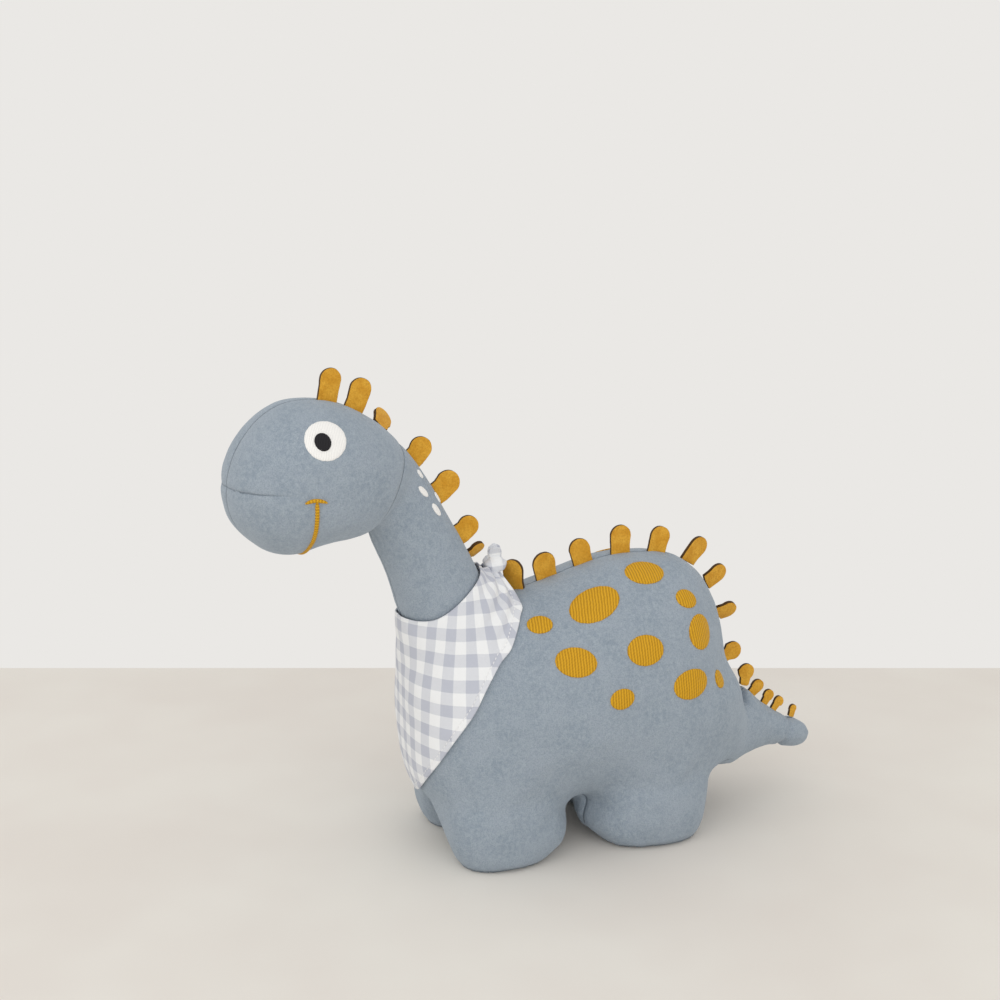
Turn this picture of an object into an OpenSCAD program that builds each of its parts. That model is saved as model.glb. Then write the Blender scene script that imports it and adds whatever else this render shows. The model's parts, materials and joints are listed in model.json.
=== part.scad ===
// Stuffed long-necked dinosaur, standing on four feet.
// +Z is up, the nose points along -Y and the toy's left side is +X.
// The origin is on the floor, under the middle of the toy's length.
// Skins are open sleeves of velour round solid fillings. Where the toy bends, a filling ends in a
// round lump that sits in a hollow of its neighbour, and the skins on either side stand apart.

/* [Torso] */
// Width of the torso at its widest
torso_width = 108; // [100:1:114]
// Height of the back above the floor
back_height = 160; // [154:1:164]
// Distance between the centres of a left and a right foot
foot_spacing = 60; // [58:1:64]

/* [Head and neck] */
// Width of the head across the cheeks
head_width = 84; // [80:1:88]
// How far the head is turned to the toy's left
head_turn = 8; // [0:1:12]
// Width of the neck at its middle
neck_width = 42; // [41:0.5:44]

/* [Tail] */
// Width of the tail at its root
tail_width = 42; // [38:1:44]

/* [Fabric] */
// Thickness of the velour with its nap
velour = 2; // [1.6:0.1:2.4]
// Thickness of a back plate, which is two layers of felt
plate_thickness = 2.2; // [1.6:0.1:2.6]
// Thickness of the doubled gingham
gingham = 1.8; // [1.2:0.1:2]
// How far embroidery stands out of the velour
embroidery = 0.9; // [0.5:0.1:1.2]

/* [Hidden] */
$fn = 24;
velour_colour = "lightsteelblue";
felt_colour = "goldenrod";
thread_colour = "gold";
gingham_colour = "lavender";
filling_colour = "white";

gap = 0.3;
joint_gap = 0.5;
tail_gap = 2.5;
far = 700;
sole_thickness = 2;
mirror_sides = [1, -1];

// Each row of TORSO is: place along the toy, height of the underside, height of the back,
// and the share of the full half width.
TORSO = [
    [-81, 62, 98, 0.22], [-78, 43, 118, 0.50], [-69, 30, 131, 0.73], [-50, 25, 140, 0.88],
    [-25, 23.5, 143, 0.97], [0, 25, 147.5, 1], [25, 25, 156.5, 1], [50, 23.5, 160, 1],
    [75, 24, 158, 0.95], [95, 25, 149, 0.83], [107, 27, 133, 0.68], [113, 27, 111, 0.57],
    [118, 21, 85, 0.45]
];
// Each row of HEAD is: place along the toy, underside, top, and the share of the half width.
HEAD = [
    [-177, 209, 218, 0.15], [-174, 198, 229, 0.43], [-168, 190, 240, 0.64], [-158, 181.5, 250.5, 0.83],
    [-146, 177.5, 256.5, 0.95], [-133, 178, 258, 1], [-118, 180, 256, 0.97], [-104, 186, 249, 0.86],
    [-92, 193, 241, 0.69], [-82, 200, 229, 0.48]
];
// Each row of NECK is: centre (y, z), half depth (y, z) towards the back, and the share of the half
// width, from the head down to the shoulders.
NECK = [
    [[-95.5, 210], [9.5, 19.8], 1.04], [[-89.5, 206.5], [11, 19], 1.02], [[-81.5, 193], [15.5, 15.5], 1],
    [[-74, 178], [17, 13], 1], [[-68, 165.5], [19.5, 10.5], 1.04], [[-62.5, 152], [22, 9], 1.1],
    [[-57, 138], [23.3, 7], 1.14]
];
// Each row of TAIL is: centre (y, z), half depth (y, z) upwards, and the share of the half width.
TAIL = [
    [[118, 53], [2, 31], 1.12], [[126, 48.5], [4, 25], 0.88], [[134, 45.5], [4.5, 18.5], 0.7],
    [[142, 43.8], [4.5, 14.2], 0.58], [[150, 42], [4, 11.3], 0.5], [[158, 39.5], [4, 9.2], 0.45],
    [[166, 36.5], [4.5, 8.4], 0.45], [[172.5, 33.5], [4, 6.6], 0.36], [[176.5, 31.5], [1.5, 2.6], 0.14]
];
// Each row of a leg is: height, offset outwards, offset along the toy, half width and half length.
FRONT_LEG = [
    [2.2, 0, 0, 20.5, 26], [6, 0, 0, 22, 29], [14, 0.5, 0, 23, 31.5], [24, 1, -1, 22, 31.5],
    [40, 1, -1, 19, 31], [58, 0, 2, 12, 26]
];
REAR_LEG = [
    [2.2, 0, -1, 20, 28.5], [6, 0, 0, 21.5, 31], [14, 0.5, 1, 22.5, 32.5], [24, 1, 2, 22, 33.5],
    [40, 1, 4, 19, 33.5], [58, 0, 5, 12, 28]
];
front_leg_y = -35;
rear_leg_y = 55;

// Pivots of the soft joints.
neck_pivot = [0, -57, 138];
neck_ball = 22;
middle_pivot = [0, -71.5, 172];
middle_ball = 18.6;
middle_t = 3.43;
head_pivot = [0, -95.5, 210];
head_ball = 19;
head_rim_tilt = 65;
head_rim_setback = 2;
tail_pivot = [0, 113, 52];
tail_root = [20.5, 20.5, 28.5];
tip_pivot = [0, 158, 39.5];
tip_ball = 7;

// Embroidered spots of each side: middle, half length and half height, tilt of the long axis, and
// how far the velour there faces upwards.
SPOTS = [
    [[32, 18, 140], [15, 10], 12, 47], [[23, 52, 153], [11.6, 8.6], -4, 59],
    [[32, -14, 132], [7, 5.6], -13, 46], [[35, 72, 139], [7, 5.6], -8, 36],
    [[43, 78, 122], [8.4, 10.4], -8, 23], [[47, 1, 114], [11.6, 8.1], -14, 23],
    [[49, 41, 117], [10.9, 8.4], -6, 18], [[52, 68, 95.5], [11.8, 8.3], 8, 8],
    [[53, 25, 93], [7.2, 5.6], 11, 8], [[45, 92, 93], [4, 5], 0, 9]
];
// White spots on each side of the neck: place along the NECK rows, angle down from the back, size.
NECK_SPOTS = [[1.78, 47, 3.2], [2.45, 43, 3.4], [1.5, 28, 2.6], [2.35, 20, 2.6]];

// Back plates: the row they stand on, place along it, width, height, lean, twist, slant.
PLATES = [
    ["head", 5.77, 12, 14.5, 0, 0, 0], ["head", 6.78, 12.5, 15, 0, 0, 10], ["head", 7.98, 12, 10, -50, 0, 0],
    ["neck", 1.3, 13, 12, 0, 0, 18], ["neck", 2.4, 14, 14, 0, 0, 20], ["neck", 3.9, 12.5, 11.5, 0, 0, 18],
    ["neck", 4.66, 9.5, 8, 0, 40, 30], ["torso", 4.34, 13, 15.5, 0, -50, -5], ["torso", 5.12, 14, 14.5, 6, 0, -5],
    ["torso", 5.98, 13, 12, 0, 0, 0], ["torso", 6.9, 13, 14, 0, 0, -4], ["torso", 7.8, 12.5, 12.5, 0, 0, -6],
    ["torso", 8.77, 13, 13.5, 0, 15, -12], ["torso", 9.74, 12, 11, 0, 15, 6], ["torso", 10.75, 12, 10, 0, 25, 6],
    ["torso", 11.66, 11.5, 9, 0, 0, 0], ["tail", 0.85, 10.5, 8, 0, 0, 0], ["tail", 1.8, 8, 6.5, 0, 0, 0],
    ["tail", 2.9, 7, 5.5, 0, 0, 0], ["tail", 3.85, 6.5, 5, 0, 0, 0], ["tail", 5.22, 4.5, 4, 0, 0, 0]
];
plate_count = len(PLATES);
plate_lift = 1.9;
foot_share = 0.44;

function plate_name(i) = str("back_plate_", i < 10 ? "0" : "", i);

// A station is [centre, half width vector, half height vector].
function level_station(row, full_half_width) =
    [[0, row[0], (row[1] + row[2]) / 2], [row[3] * full_half_width, 0, 0], [0, 0, (row[2] - row[1]) / 2]];
function tilted_station(row, full_half_width) =
    [[0, row[0][0], row[0][1]], [row[2] * full_half_width, 0, 0], [0, row[1][0], row[1][1]]];
function leg_station(row, y) =
    [[foot_spacing / 2 + row[1], y + row[2], row[0]], [row[3], 0, 0], [0, -row[4], 0]];

torso_stations = [
    for (row = TORSO)
        level_station([row[0], row[1], row[2] * back_height / 160, row[3]], torso_width / 2)
];
head_stations = [for (row = HEAD) level_station(row, head_width / 2)];
neck_stations = [for (row = NECK) tilted_station(row, neck_width / 2)];
tail_stations = [for (row = TAIL) tilted_station(row, tail_width / 2)];
front_leg_stations = [for (row = FRONT_LEG) leg_station(row, front_leg_y)];
rear_leg_stations = [for (row = REAR_LEG) leg_station(row, rear_leg_y)];

function stations_of(name) =
    name == "head" ? head_stations : name == "neck" ? neck_stations
    : name == "tail" ? tail_stations : torso_stations;

// A smooth curve through a list of stations, at place t from 0 to the last row's number.
function clamped(stations, i) = stations[min(max(i, 0), len(stations) - 1)];
function catmull(a, b, c, d, f) =
    0.5 * (2 * b + (c - a) * f + (2 * a - 5 * b + 4 * c - d) * f * f + (3 * b - a - 3 * c + d) * f * f * f);
function station_at(stations, t) =
    let (i = min(max(floor(t), 0), len(stations) - 2))
    catmull(clamped(stations, i - 1), stations[i], stations[i + 1], clamped(stations, i + 2), t - i);
function back_point(stations, t) = let (s = station_at(stations, t)) s[0] + s[2];

function shortened(vector, by) = vector * max(0.03, 1 - by / norm(vector));
function power_of(value, power) = sign(value) * pow(abs(value), power);

// Points round one station. A squareness over 2 makes it boxy, and a taper narrows it upwards.
function station_ring(station, inset, count, squareness, taper) = [
    for (k = [0:count - 1])
        let (
            across = power_of(cos(360 * k / count), 2 / squareness),
            up = power_of(sin(360 * k / count), 2 / squareness)
        )
        station[0] + shortened(station[1], inset) * across * (1 - taper * up)
            + shortened(station[2], inset) * up
];

// A closed form through the stations from place t0 to t1, made smaller all round by inset.
module loft(stations, t0, t1, rings, inset = 0, count = 28, squareness = 2, taper = 0, ends = [1, 1]) {
    places = [for (i = [0:rings]) t0 + (t1 - t0) * i / rings];
    along = [
        for (t = places)
            let (d = station_at(stations, t + 0.05)[0] - station_at(stations, t - 0.05)[0]) d / norm(d)
    ];
    shifts = [
        for (i = [0:rings]) i == 0 ? ends[0] * inset : i == rings ? -ends[1] * inset : 0
    ];
    points = [
        for (i = [0:rings])
            let (s = station_at(stations, places[i]))
            each station_ring([s[0] + along[i] * shifts[i], s[1], s[2]], inset, count, squareness, taper)
    ];
    sides = [
        for (i = [0:rings - 1], k = [0:count - 1])
            let (a = i * count + k, b = i * count + (k + 1) % count)
            each [[a, b, b + count], [a, b + count, a + count]]
    ];
    caps = [[for (k = [count - 1:-1:0]) k], [for (k = [0:count - 1]) rings * count + k]];
    polyhedron(points, concat(sides, caps), convexity = 8);
}

// Joins free-form surfaces into one closed surface of the same size.
module one_surface() {
    resize([0, 0, 0]) children();
}

module at_point(p) {
    translate(p) children();
}

// Everything on one side of the toy, away from the middle seam by half the seam's gap.
module half_space(side, seam = gap / 2) {
    translate([side > 0 ? seam : -far - seam, -far / 2, -far / 2]) cube(far);
}

// A bar of oval section that runs outwards and upwards through a place on one side of the toy.
module oval_bar(side, centre, half_size, elevation, bearing = 0, tilt = 0) {
    depth = centre.x / 2;
    scale([side, 1, 1]) translate([centre.x - depth, centre.y, centre.z - depth * tan(elevation)])
        rotate([0, 90 - elevation, bearing]) rotate([0, 0, tilt])
            linear_extrude(90) scale([half_size.y, half_size.x]) circle(1);
}

// ---- Forms ----

module barrel(inset = 0, rings = 17, count = 24) {
    loft(torso_stations, 0, 12, rings, inset, count, 2.25, 0.12);
}

module leg_form(stations, inset = 0) {
    loft(stations, 0, 5, 6, inset, 18, 2.3, 0, [0, 0]);
}

module all_legs(inset = 0) {
    for (side = mirror_sides)
        scale([side, 1, 1]) {
            leg_form(front_leg_stations, inset);
            leg_form(rear_leg_stations, inset);
        }
}

module torso_form(inset = 0) {
    barrel(inset);
    all_legs(inset);
}

module neck_hollow(radius) {
    at_point(neck_pivot) sphere(radius);
}

module tail_lump(extra) {
    at_point(tail_pivot) scale([tail_root.x + extra, tail_root.y + extra, tail_root.z + extra]) sphere(1);
}

module head_form(inset = 0, count = 24) {
    loft(head_stations, 0, 9, 14, inset, count, 2.12);
}

// The head turned to the side about the place where it sits on the neck.
module turned() {
    at_point(head_pivot) rotate([0, 0, head_turn]) at_point(-head_pivot) children();
}

// What lies ahead of the seam that joins the head to the neck.
module ahead_of_head_seam() {
    at_point(head_pivot)
        rotate([head_rim_tilt - 90, 0, 0])
            translate([-far / 2, -far - head_rim_setback, -far / 2]) cube(far);
}

module neck_tube(t0, t1, rings, inset, ends = [0, 0]) {
    loft(neck_stations, t0, t1, rings, inset, 20, 2, 0, ends);
}

module tail_tube(t0, t1, rings, inset, ends = [0, 0]) {
    loft(tail_stations, t0, t1, rings, inset, 16, 2, 0, ends);
}

// ---- Torso ----

belly_half_width = 27;
belly_top = 34;

module torso_skin() {
    difference() {
        torso_form(0);
        torso_form(velour);
        neck_hollow(neck_ball + 3.2);
        tail_lump(tail_gap);
        translate([-far / 2, 118 - velour - 0.1, -far / 2]) cube(far);
        translate([-far / 2, -far / 2, -far + sole_thickness + gap]) cube(far);
    }
}

// The strip under the toy, with the inner faces of the legs.
module underside(margin = 0) {
    width = 2 * belly_half_width - margin;
    translate([-width / 2, -72, 0]) cube([width, 172, belly_top - margin / 2]);
}

module torso_panel(side) {
    color(velour_colour) one_surface() difference() {
        intersection() {
            torso_skin();
            half_space(side);
        }
        underside();
    }
}

module belly_gusset() {
    color(velour_colour) one_surface() intersection() {
        torso_skin();
        underside(2 * gap);
    }
}

module sole(stations, side) {
    base = station_ring(stations[0], 0, 44, 2.3, 0);
    color(velour_colour) linear_extrude(sole_thickness) polygon([for (p = base) [p.x * side, p.y]]);
}

module torso_filling() {
    color(filling_colour) one_surface() difference() {
        torso_form(velour + gap);
        neck_hollow(neck_ball + joint_gap);
        tail_lump(tail_gap);
        translate([-far / 2, -far / 2, -far + sole_thickness + gap]) cube(far);
    }
}

stitch_count = 7;
stitch_pitch = 2.6;
stitch_length = 6;
stitch_start = 3;
stitch_height = 22.7;

module spots(side) {
    color(thread_colour) one_surface() intersection() {
        difference() {
            barrel(-embroidery);
            barrel(-0.05);
        }
        for (s = SPOTS)
            oval_bar(side, s[0], s[1], s[3], 0, s[2]);
    }
}

// Ladder stitches across the hand-sewn gap in the belly seam.
module closing_stitches() {
    color(filling_colour)
        for (i = [0:stitch_count - 1])
            translate([-stitch_length / 2, stitch_start + stitch_pitch * i, stitch_height])
                rotate([0, 90, 0]) cylinder(h = stitch_length, r = 0.4);
}

// ---- Bandana ----

neckline_tilt = 20;
collar_inner = 25.6;
collar_height = 12;
collar_flare = 1.3;
fold_height = 78;
point_spread = 46;
hang_centre = -52.4;
hang_radii = [54.8, 32];
knot_back = 35.6;
knot_rise = 12;
knot_roll = 3;
end_spacing = 7.2;
end_spread = 24;
end_length = 7;
end_width = 5;
nape = [0, -25, 150];
bandana_point = [0, -79, 34];

module along_neck_base() {
    at_point(neck_pivot) rotate([neckline_tilt, 0, 0]) children();
}

module bandana_collar() {
    color(gingham_colour) along_neck_base()
        rotate_extrude($fn = 64)
            polygon([
                [collar_inner, 0], [collar_inner + gingham, 0],
                [collar_inner + collar_flare + gingham, collar_height],
                [collar_inner + collar_flare, collar_height]
            ]);
}

// What lies in front of the plane from the nape to the bandana's point, between its two hems.
module between_hems(low, high) {
    slope = atan2(bandana_point.y - nape.y, nape.z - bandana_point.z);
    intersection() {
        at_point(nape) rotate([slope, 0, 0]) translate([-far / 2, -far, -far / 2]) cube(far);
        translate([0, far / 2, bandana_point.z]) rotate([90, 0, 0]) linear_extrude(far)
            polygon([[0, 0], [far, far / tan(point_spread)], [-far, far / tan(point_spread)]]);
        translate([-far / 2, -far / 2, low]) cube([far, far, high - low]);
    }
}

// The cloth that lies on the shoulders and the chest.
module bandana_front() {
    color(gingham_colour) one_surface() intersection() {
        difference() {
            barrel(-1.2 - gingham);
            barrel(-1.2);
            neck_hollow(collar_inner + gingham + 3.4);
        }
        between_hems(fold_height + 0.5, 200);
    }
}

// The point of the cloth, which hangs free of the chest.
module bandana_tip() {
    color(gingham_colour) one_surface() intersection() {
        translate([0, hang_centre, 0]) linear_extrude(fold_height) difference() {
            resize(2 * hang_radii) circle(1);
            resize(2 * (hang_radii - [gingham, gingham])) circle(1);
        }
        between_hems(bandana_point.z, fold_height - 0.5);
    }
}

// The cloth rolled into a ring, seen from the side as a flat knot.
module bandana_knot() {
    color(gingham_colour) along_neck_base()
        translate([0, knot_back, knot_rise]) rotate([0, 90, 0])
            rotate_extrude($fn = 40) translate([knot_roll + 0.2, 0]) circle(knot_roll);
}

module bandana_ends() {
    color(gingham_colour) along_neck_base()
        for (side = mirror_sides)
            translate([side * end_spacing / 2, knot_back + 2, knot_rise + 2 * knot_roll + 0.8])
                rotate([-45, side * end_spread, 0])
                    linear_extrude(end_length) square([end_width, gingham + 0.6], center = true);
}

// ---- Neck ----

lower_top = middle_t + 0.32;
upper_bottom = middle_t - 0.32;
upper_top = 1.35;
lower_bottom = 5.8;

module neck_skin(side, t0, t1, rings) {
    color(velour_colour) one_surface() intersection() {
        difference() {
            neck_tube(t0, t1, rings, 0);
            neck_tube(t0 - 0.2, t1 + 0.2, rings + 2, velour);
        }
        half_space(side);
    }
}

module neck_lower_filling() {
    color(filling_colour) one_surface() difference() {
        union() {
            neck_tube(lower_top, 5.9, 6, velour + gap);
            at_point(neck_pivot) sphere(neck_ball);
        }
        at_point(middle_pivot) sphere(middle_ball + joint_gap);
    }
}

module neck_upper_filling() {
    color(filling_colour) one_surface() difference() {
        union() {
            neck_tube(upper_top, upper_bottom, 6, velour + gap);
            at_point(middle_pivot) sphere(middle_ball);
        }
        at_point(head_pivot) sphere(head_ball + joint_gap);
    }
}

module neck_spots() {
    color("white") one_surface() intersection() {
        difference() {
            neck_tube(1.4, 3, 9, -embroidery);
            neck_tube(1.3, 3.1, 9, -0.05);
        }
        for (s = NECK_SPOTS, side = mirror_sides)
            let (st = station_at(neck_stations, s[0]))
            translate(st[0]) multmatrix(outward_axes(st, s[1] * side))
                scale([s[2] * 0.55, s[2] * 1.2, 1]) cylinder(h = 40, r = 1, $fn = 16);
    }
}

// Axes for a spot on the neck: outwards at an angle from the back, with its length along the neck.
function outward_axes(station, angle) =
    let (
        up = station[2] / norm(station[2]),
        out = up * cos(angle) + [sin(angle), 0, 0],
        outwards = out / norm(out),
        along = [0, -up.z, up.y],
        across = cross(along, outwards)
    )
    [
        [across.x, along.x, outwards.x, 0], [across.y, along.y, outwards.y, 0],
        [across.z, along.z, outwards.z, 0], [0, 0, 0, 1]
    ];

// ---- Head ----

eye_centre = [33.8, -137, 241.7];
eye_half_size = [10.4, 11.4];
pupil_centre = [34.6, -139, 240.5];
pupil_half_size = [4, 4.9];
eye_bearing = -8;
eye_elevation = 36;
smile = [[-144.6, 213], [-146, 205], [-148, 197], [-149, 189], [-147, 181], [-144, 172]];
smile_end = [[-149, 212.4], [-144.6, 214], [-139.7, 211.5]];

module head_skin() {
    intersection() {
        difference() {
            head_form(0);
            head_form(velour);
            at_point(head_pivot) sphere(head_ball + 3.2);
        }
        ahead_of_head_seam();
    }
}

module head_panel(side) {
    color(velour_colour) turned() one_surface() intersection() {
        head_skin();
        half_space(side);
    }
}

module head_filling() {
    color(filling_colour) turned() one_surface() intersection() {
        difference() {
            head_form(velour + gap);
            at_point(head_pivot) sphere(head_ball + joint_gap);
        }
        ahead_of_head_seam();
    }
}

module head_root_filling() {
    color(filling_colour) at_point(head_pivot) sphere(head_ball);
}

// A layer on the head between two heights above the velour, cut by what is drawn.
module on_head(low, high) {
    turned() one_surface() intersection() {
        difference() {
            head_form(-high);
            head_form(-low);
        }
        children();
    }
}

module eye_white(side) {
    color("white") on_head(0.05, embroidery) oval_bar(side, eye_centre, eye_half_size, eye_elevation, eye_bearing);
}

module pupil_disc(side) {
    color("black")
        on_head(embroidery + 0.05, 2 * embroidery)
            oval_bar(side, pupil_centre, pupil_half_size, eye_elevation, eye_bearing);
}

module stitch_line(path) {
    for (i = [0:len(path) - 2])
        hull()
            for (p = [path[i], path[i + 1]])
                translate([-far / 2, p[0], p[1]]) rotate([0, 90, 0]) cylinder(h = far, r = 1, $fn = 8);
}

module mouth_stitch() {
    color(thread_colour) on_head(0.05, embroidery) {
        union() {
            stitch_line(smile);
            stitch_line(smile_end);
        }
    }
}

// ---- Tail ----

tail_skin_start = 1.2;
tail_skin_end = 4.7;
tip_skin_start = 5.3;

module tail_skin(side, t0, t1, rings, closed_end) {
    color(velour_colour) one_surface() intersection() {
        difference() {
            tail_tube(t0, t1, rings, 0);
            tail_tube(t0 - 0.3, closed_end ? t1 : t1 + 0.3, rings, velour, [0, closed_end ? 1 : 0]);
        }
        half_space(side);
    }
}

module tail_root_filling() {
    color(filling_colour) one_surface() tail_lump(0);
}

module tail_filling() {
    color(filling_colour) one_surface() difference() {
        tail_tube(1, 4.75, 7, velour + gap);
        tail_lump(joint_gap);
        at_point(tip_pivot) sphere(tip_ball + joint_gap);
    }
}

module tail_tip_filling() {
    color(filling_colour) one_surface() {
        tail_tube(5.25, 7.8, 6, velour + gap, [0, 1]);
        at_point(tip_pivot) sphere(tip_ball);
    }
}

// ---- Back plates ----

// A tongue of felt with a rounded end that slants towards the head. Its foot is at the origin.
module tongue(width, height, slant) {
    radius = width * 0.48;
    translate([-plate_thickness / 2, 0, 0])
        rotate([90, 0, 90]) linear_extrude(plate_thickness) hull() {
            translate([-tan(slant) * (height - radius), height - radius]) circle(radius, $fn = 40);
            translate([-width * foot_share, 0]) square([2 * width * foot_share, 0.1]);
        }
}

module turned_if(on_head) {
    if (on_head) turned() children();
    else children();
}

module back_plate(i) {
    p = PLATES[i - 1];
    stations = stations_of(p[0]);
    foot = back_point(stations, p[1]);
    ahead = back_point(stations, p[1] + 0.1) - back_point(stations, p[1] - 0.1);
    corner_dip = abs(foot_share * p[2] * sin(p[4]) * sin(p[5]));
    color(felt_colour) turned_if(p[0] == "head")
        translate(foot) rotate([atan2(ahead.z, ahead.y), 0, 0])
            translate([0, 0, plate_lift + corner_dip / 2]) rotate([0, p[4], 0]) rotate([0, 0, p[5]])
                tongue(p[2], p[3], p[6]);
}

torso_panel(1);  // torso_panel_left
torso_panel(-1);  // torso_panel_right
belly_gusset();
sole(front_leg_stations, 1);  // sole_front_left
sole(front_leg_stations, -1);  // sole_front_right
sole(rear_leg_stations, 1);  // sole_rear_left
sole(rear_leg_stations, -1);  // sole_rear_right
torso_filling();
spots(1);  // spots_left
spots(-1);  // spots_right
closing_stitches();
bandana_collar();
bandana_front();
bandana_tip();
bandana_knot();
bandana_ends();
neck_skin(1, lower_top, lower_bottom, 7);  // neck_lower_left
neck_skin(-1, lower_top, lower_bottom, 7);  // neck_lower_right
neck_lower_filling();
neck_skin(1, upper_top, upper_bottom, 7);  // neck_upper_left
neck_skin(-1, upper_top, upper_bottom, 7);  // neck_upper_right
neck_upper_filling();
neck_spots();
head_root_filling();
head_panel(1);  // head_panel_left
head_panel(-1);  // head_panel_right
head_filling();
eye_white(1);  // eye_white_left
eye_white(-1);  // eye_white_right
pupil_disc(1);  // pupil_left
pupil_disc(-1);  // pupil_right
mouth_stitch();
tail_root_filling();
tail_skin(1, tail_skin_start, tail_skin_end, 7, false);  // tail_left
tail_skin(-1, tail_skin_start, tail_skin_end, 7, false);  // tail_right
tail_filling();
tail_skin(1, tip_skin_start, 8, 6, true);  // tail_tip_left
tail_skin(-1, tip_skin_start, 8, 6, true);  // tail_tip_right
tail_tip_filling();
for (i = [1:plate_count])
    back_plate(i);
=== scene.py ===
# The looks of the stuffed dinosaur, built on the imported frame.
# Metres. The nose points along -Y, the toy's left side is +X, and the floor is z = 0.
import json
import math

import bmesh
import bpy
import numpy as np
from mathutils import Matrix, Vector
from mathutils.bvhtree import BVHTree
from mathutils.noise import noise


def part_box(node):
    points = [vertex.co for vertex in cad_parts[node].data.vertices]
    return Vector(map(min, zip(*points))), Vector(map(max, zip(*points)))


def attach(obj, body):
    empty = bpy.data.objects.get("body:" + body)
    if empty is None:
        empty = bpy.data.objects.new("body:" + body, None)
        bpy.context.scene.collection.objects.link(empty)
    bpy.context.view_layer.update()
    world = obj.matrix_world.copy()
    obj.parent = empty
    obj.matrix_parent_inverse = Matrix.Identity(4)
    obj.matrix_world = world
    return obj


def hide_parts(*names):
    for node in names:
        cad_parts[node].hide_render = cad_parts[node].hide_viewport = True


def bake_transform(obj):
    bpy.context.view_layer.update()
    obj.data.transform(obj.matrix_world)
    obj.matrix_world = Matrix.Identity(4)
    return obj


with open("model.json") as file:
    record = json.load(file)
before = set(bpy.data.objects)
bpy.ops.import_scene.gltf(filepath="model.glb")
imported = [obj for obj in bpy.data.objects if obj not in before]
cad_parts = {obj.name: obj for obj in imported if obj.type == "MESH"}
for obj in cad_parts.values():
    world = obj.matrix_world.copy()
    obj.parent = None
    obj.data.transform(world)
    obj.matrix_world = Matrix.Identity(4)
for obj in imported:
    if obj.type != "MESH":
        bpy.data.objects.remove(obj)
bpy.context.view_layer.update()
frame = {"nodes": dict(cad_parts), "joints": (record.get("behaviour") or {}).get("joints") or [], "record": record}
JOINTS = {joint["name"]: joint for joint in frame["joints"]}
BODY_OF = {
    node: body
    for body, nodes in frame["record"]["behaviour"]["bodies"].items()
    for node in nodes
}
MM = 0.001
SIDES = ("left", "right")

TORSO_NODES = [
    "torso_panel_left", "torso_panel_right", "belly_gusset", "torso_filling",
    "sole_front_left", "sole_front_right", "sole_rear_left", "sole_rear_right",
]
NECK_NODES = [
    "neck_lower_left", "neck_lower_right", "neck_lower_filling",
    "neck_upper_left", "neck_upper_right", "neck_upper_filling",
]
HEAD_NODES = ["head_panel_left", "head_panel_right", "head_filling"]
TAIL_NODES = ["tail_left", "tail_right", "tail_filling"]
TAIL_TIP_NODES = ["tail_tip_left", "tail_tip_right", "tail_tip_filling"]
PLATE_NODES = sorted(name for name in frame["nodes"] if name.startswith("back_plate"))

VOXEL = 3 * MM  # the step of the remeshed skin
EDGE_STEP = 5 * MM  # the most that a CAD edge runs without a point
LEG_TOP = 34 * MM  # the height where the legs end and the barrel begins
LEG_GAP = 7 * MM  # half the gap between a left and a right leg
LEG_SPREAD = 10 * MM  # how far a leg reaches beyond its sole
BELLY = 23 * MM  # the height of the belly between the legs
ARCH_HALF = 14 * MM  # half the length of the arch between a front and a rear leg
PLATE_FOOT = 3.6 * MM  # how deep a plate runs into the seam
EYE_NUDGE = (0, 3.4 * MM, 0.6 * MM)  # the eyes sit a little behind and above the CAD's
NECK_SHOULDER = 76 * MM  # how far along the neck it starts to widen into the head
NO_SEAM = 1.0  # the distance stored where no seam is near
SEAM_SPREAD = 1.7 * MM  # how far a seam's dent reaches to either side
CREASE_SPREAD = 1.6 * MM
HEAD_TURN = math.radians(8)  # the nose points this far to the toy's left
HEAD_SEAM_TILT = math.radians(65)
NECKLINE_TILT = math.radians(20)
TAIL_SLOPE = math.radians(15)
TIP_WAY = Vector((0, 0.93, -0.37))  # the way the tail's tip points


# ---- Small helpers ----

def pivot(joint):
    return Vector(JOINTS[joint]["pos_m"])


def middle(node):
    low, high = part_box(node)
    return (low + high) / 2


def in_box(node, across, along, up):
    """The point at these shares of a CAD node's box, in which 0 and 1 are its faces."""
    low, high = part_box(node)
    return Vector(low[i] + (high[i] - low[i]) * share for i, share in enumerate((across, along, up)))


def arch_middle():
    """Where along the toy the arch between its front and rear legs has its middle."""
    return (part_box("sole_front_left")[1].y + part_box("sole_rear_left")[0].y) / 2


def points_of(*nodes):
    return np.array([v.co[:] for node in nodes for v in frame["nodes"][node].data.vertices])


def points_on_edges(*nodes):
    """The nodes' own points, and more along their edges wherever those are long."""
    found = []
    for node in nodes:
        mesh = frame["nodes"][node].data
        own = points_of(node)
        found.append(own)
        ends = np.array([e.vertices[:] for e in mesh.edges])
        a, b = own[ends[:, 0]], own[ends[:, 1]]
        parts = np.ceil(np.linalg.norm(b - a, axis=1) / EDGE_STEP).astype(int)
        for count in range(2, parts.max() + 1):
            chosen = parts == count
            for i in range(1, count):
                found.append(a[chosen] + (b - a)[chosen] * i / count)
    return np.vstack(found)


def coordinates(obj):
    flat = np.zeros(len(obj.data.vertices) * 3)
    obj.data.vertices.foreach_get("co", flat)
    return flat.reshape(-1, 3)


def set_coordinates(obj, points):
    obj.data.vertices.foreach_set("co", points.ravel())
    obj.data.update()


def vertex_normals(obj):
    return np.array([v.normal[:] for v in obj.data.vertices])


def new_object(name, points, faces):
    mesh = bpy.data.meshes.new(name)
    mesh.from_pydata([tuple(p) for p in points], [], [tuple(f) for f in faces])
    mesh.validate()
    obj = bpy.data.objects.new(name, mesh)
    bpy.context.scene.collection.objects.link(obj)
    mesh.shade_smooth()
    return obj


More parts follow.
